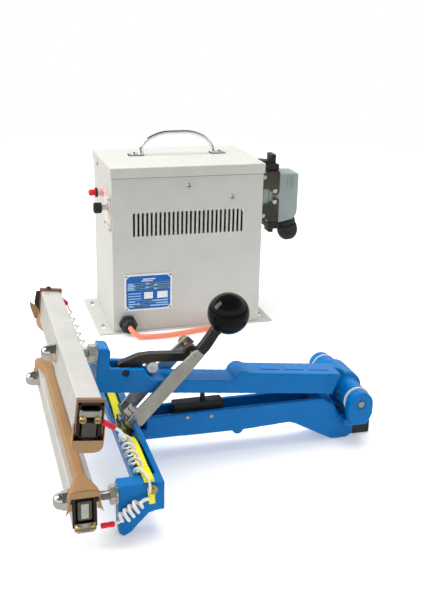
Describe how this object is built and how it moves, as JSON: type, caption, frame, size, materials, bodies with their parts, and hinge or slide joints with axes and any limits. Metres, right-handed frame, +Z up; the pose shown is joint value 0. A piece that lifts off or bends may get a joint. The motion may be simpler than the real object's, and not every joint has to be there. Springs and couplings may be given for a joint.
{
  "type": "impulse heat sealer",
  "caption": "Impulse heat sealer: a vented power unit with a carrying handle, timer knob and locking plug, and sealing tongs with long jaws and a toggle lever.",
  "frame": {"origin": "centre of the underside of the power unit's base plate", "axes": "+X along the case front from the timer knob side to the connector side, +Y from the vented front to the back, +Z up; the tongs lie on the floor in front of the case"},
  "size_m": [0.3936, 0.5859, 0.2426],
  "materials": {
    "case_paint": "satin, slightly textured",
    "chrome": "polished",
    "plate_blue": "satin",
    "label": "satin",
    "plastic_black": "matt",
    "aluminium": "satin",
    "lamp_red": "gloss",
    "lens_pink": "translucent, pale",
    "cord_orange": "satin",
    "core_steel": "dark laminations",
    "winding": "taped winding",
    "board_green": "satin",
    "hood_grey": "powder coat",
    "latch_grey": "satin",
    "enamel_blue": "gloss enamel over castings",
    "steel": "zinc plated or brushed",
    "nylon": "satin",
    "lever_black": "black, semi gloss",
    "ball_black": "polished",
    "brass": "satin",
    "silicone": "matt",
    "ptfe_brown": "coated glass cloth",
    "sleeve_yellow": "satin",
    "rubber": "matt"
  },
  "bodies": {
    "power_unit": {"base_plate": "case_paint", "housing": "case_paint", "lid": "case_paint", "carry_handle": "chrome", "nameplate": "plate_blue", "control_plate": "label", "knob_collar": "aluminium", "button_switch": "plastic_black", "button_bezel": "lens_pink", "cable_gland": "plastic_black", "mains_cord": "cord_orange", "transformer_core": "core_steel", "transformer_coil": "winding", "timer_board": "board_green", "connector_base": "hood_grey", "connector_insert": "plastic_black", "plug_hood": "hood_grey", "hood_gland": "plastic_black"},
    "tongs_lower": {"lower_arm": "enamel_blue", "hinge_pin": "steel", "hinge_washer_near": "nylon", "hinge_washer_far": "nylon", "lower_jaw_bar": "aluminium", "lower_heating_band": "steel", "lower_insulating_strip": "silicone", "lower_ptfe_cover": "ptfe_brown", "lower_clamp_near": "brass", "lower_clamp_far": "brass", "lower_stud_near": "steel", "lower_stud_far": "steel", "lower_dome_nut_near": "chrome", "lower_dome_nut_far": "chrome", "microswitch": "plastic_black", "power_sleeve": "sleeve_yellow", "rear_foot": "rubber"},
    "tongs_upper": {"upper_arm": "enamel_blue", "lever_pivot_pin": "steel", "lever_rest_roller": "nylon", "upper_jaw_bar": "aluminium", "upper_heating_band": "steel", "upper_insulating_strip": "silicone", "upper_ptfe_cover": "ptfe_brown", "upper_clamp_near": "brass", "upper_clamp_far": "brass", "upper_stud": "steel", "upper_dome_nut": "chrome"},
    "toggle_lever": {"toggle_lever": "lever_black", "ball_knob": "ball_black", "link_pin": "brass"},
    "toggle_link": {"toggle_link": "steel", "eye_bolt": "steel", "adjusting_nut": "steel", "anchor_pin": "steel"},
    "switch_plunger": {"switch_plunger": "plastic_black"},
    "timer_knob": {"timer_knob": "plastic_black"},
    "button_cap": {"button_cap": "lamp_red"},
    "latch_top": {"locking_lever_top": "latch_grey", "locking_lever_top_grip": "plastic_black"},
    "latch_bottom": {"locking_lever_bottom": "latch_grey", "locking_lever_bottom_grip": "plastic_black"}
  },
  "joints": [
    {"name": "tongs_lift", "type": "slide", "parent": "power_unit", "child": "tongs_lower", "axis": [0, 0, 1], "range_m": [0, 0.12]},
    {"name": "tongs_hinge", "type": "hinge", "parent": "tongs_lower", "child": "tongs_upper", "pos_m": [0.0825, -0.379, 0.044], "axis": [0, -1, 0], "range_deg": [0, 6.5]},
    {"name": "toggle_lever_pivot", "type": "hinge", "parent": "tongs_upper", "child": "toggle_lever", "pos_m": [-0.14294, -0.379, 0.09183], "axis": [0, -1, 0], "range_deg": [0, 79.6]},
    {"name": "toggle_link_pivot", "type": "hinge", "parent": "toggle_lever", "child": "toggle_link", "pos_m": [-0.07996, -0.379, 0.10264], "axis": [0, -1, 0], "range_deg": [-36.1, 0]},
    {"name": "switch_plunger_slide", "type": "slide", "parent": "tongs_lower", "child": "switch_plunger", "axis": [0, 0, -1], "range_m": [0, 0.00225]},
    {"name": "timer_knob_turn", "type": "hinge", "parent": "power_unit", "child": "timer_knob", "pos_m": [-0.108, -0.051, 0.161], "axis": [-1, 0, 0], "range_deg": [0, 300]},
    {"name": "button_press", "type": "slide", "parent": "power_unit", "child": "button_cap", "axis": [1, 0, 0], "range_m": [0, 0.0025]},
    {"name": "latch_top_pivot", "type": "hinge", "parent": "power_unit", "child": "latch_top", "pos_m": [0.1142, 0, 0.1838], "axis": [0, -1, 0], "range_deg": [0, 22]},
    {"name": "latch_bottom_pivot", "type": "hinge", "parent": "power_unit", "child": "latch_bottom", "pos_m": [0.1142, 0, 0.1322], "axis": [0, 1, 0], "range_deg": [0, 22]}
  ],
  "couplings": [
    {"joint": "toggle_lever_pivot", "follows": "tongs_hinge", "ratio": 12.242},
    {"joint": "toggle_link_pivot", "follows": "tongs_hinge", "ratio": -5.5396},
    {"joint": "switch_plunger_slide", "follows": "tongs_hinge", "m_per_rad": 0.01939}
  ]
}
